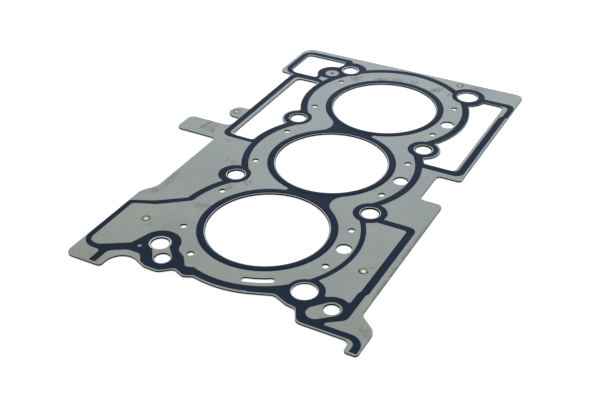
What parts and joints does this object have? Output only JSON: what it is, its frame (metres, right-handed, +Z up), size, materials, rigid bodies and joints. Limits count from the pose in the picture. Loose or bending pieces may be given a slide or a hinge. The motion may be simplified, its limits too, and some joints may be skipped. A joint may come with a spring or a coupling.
{
  "type": "cylinder head gasket",
  "caption": "Flat layered steel engine head gasket with printed sealing tracks round its bores, bolt holes and windows, and rolled eyelets.",
  "frame": {"origin": "centre of the middle cylinder bore, at half the height of the steel sheets", "axes": "+X along the row of cylinders, +Y across it towards the upper tab, +Z up out of the printed face"},
  "size_m": [0.3125, 0.2152, 0.0016],
  "materials": {
    "sheet_steel": "matt greenish grey sheet",
    "seal_print": "matt navy print",
    "eyelet_brass": "dull olive brass"
  },
  "bodies": {
    "root": {"steel_sheets": "sheet_steel", "printed_seal": "seal_print", "eyelets": "eyelet_brass"}
  },
  "joints": []
}
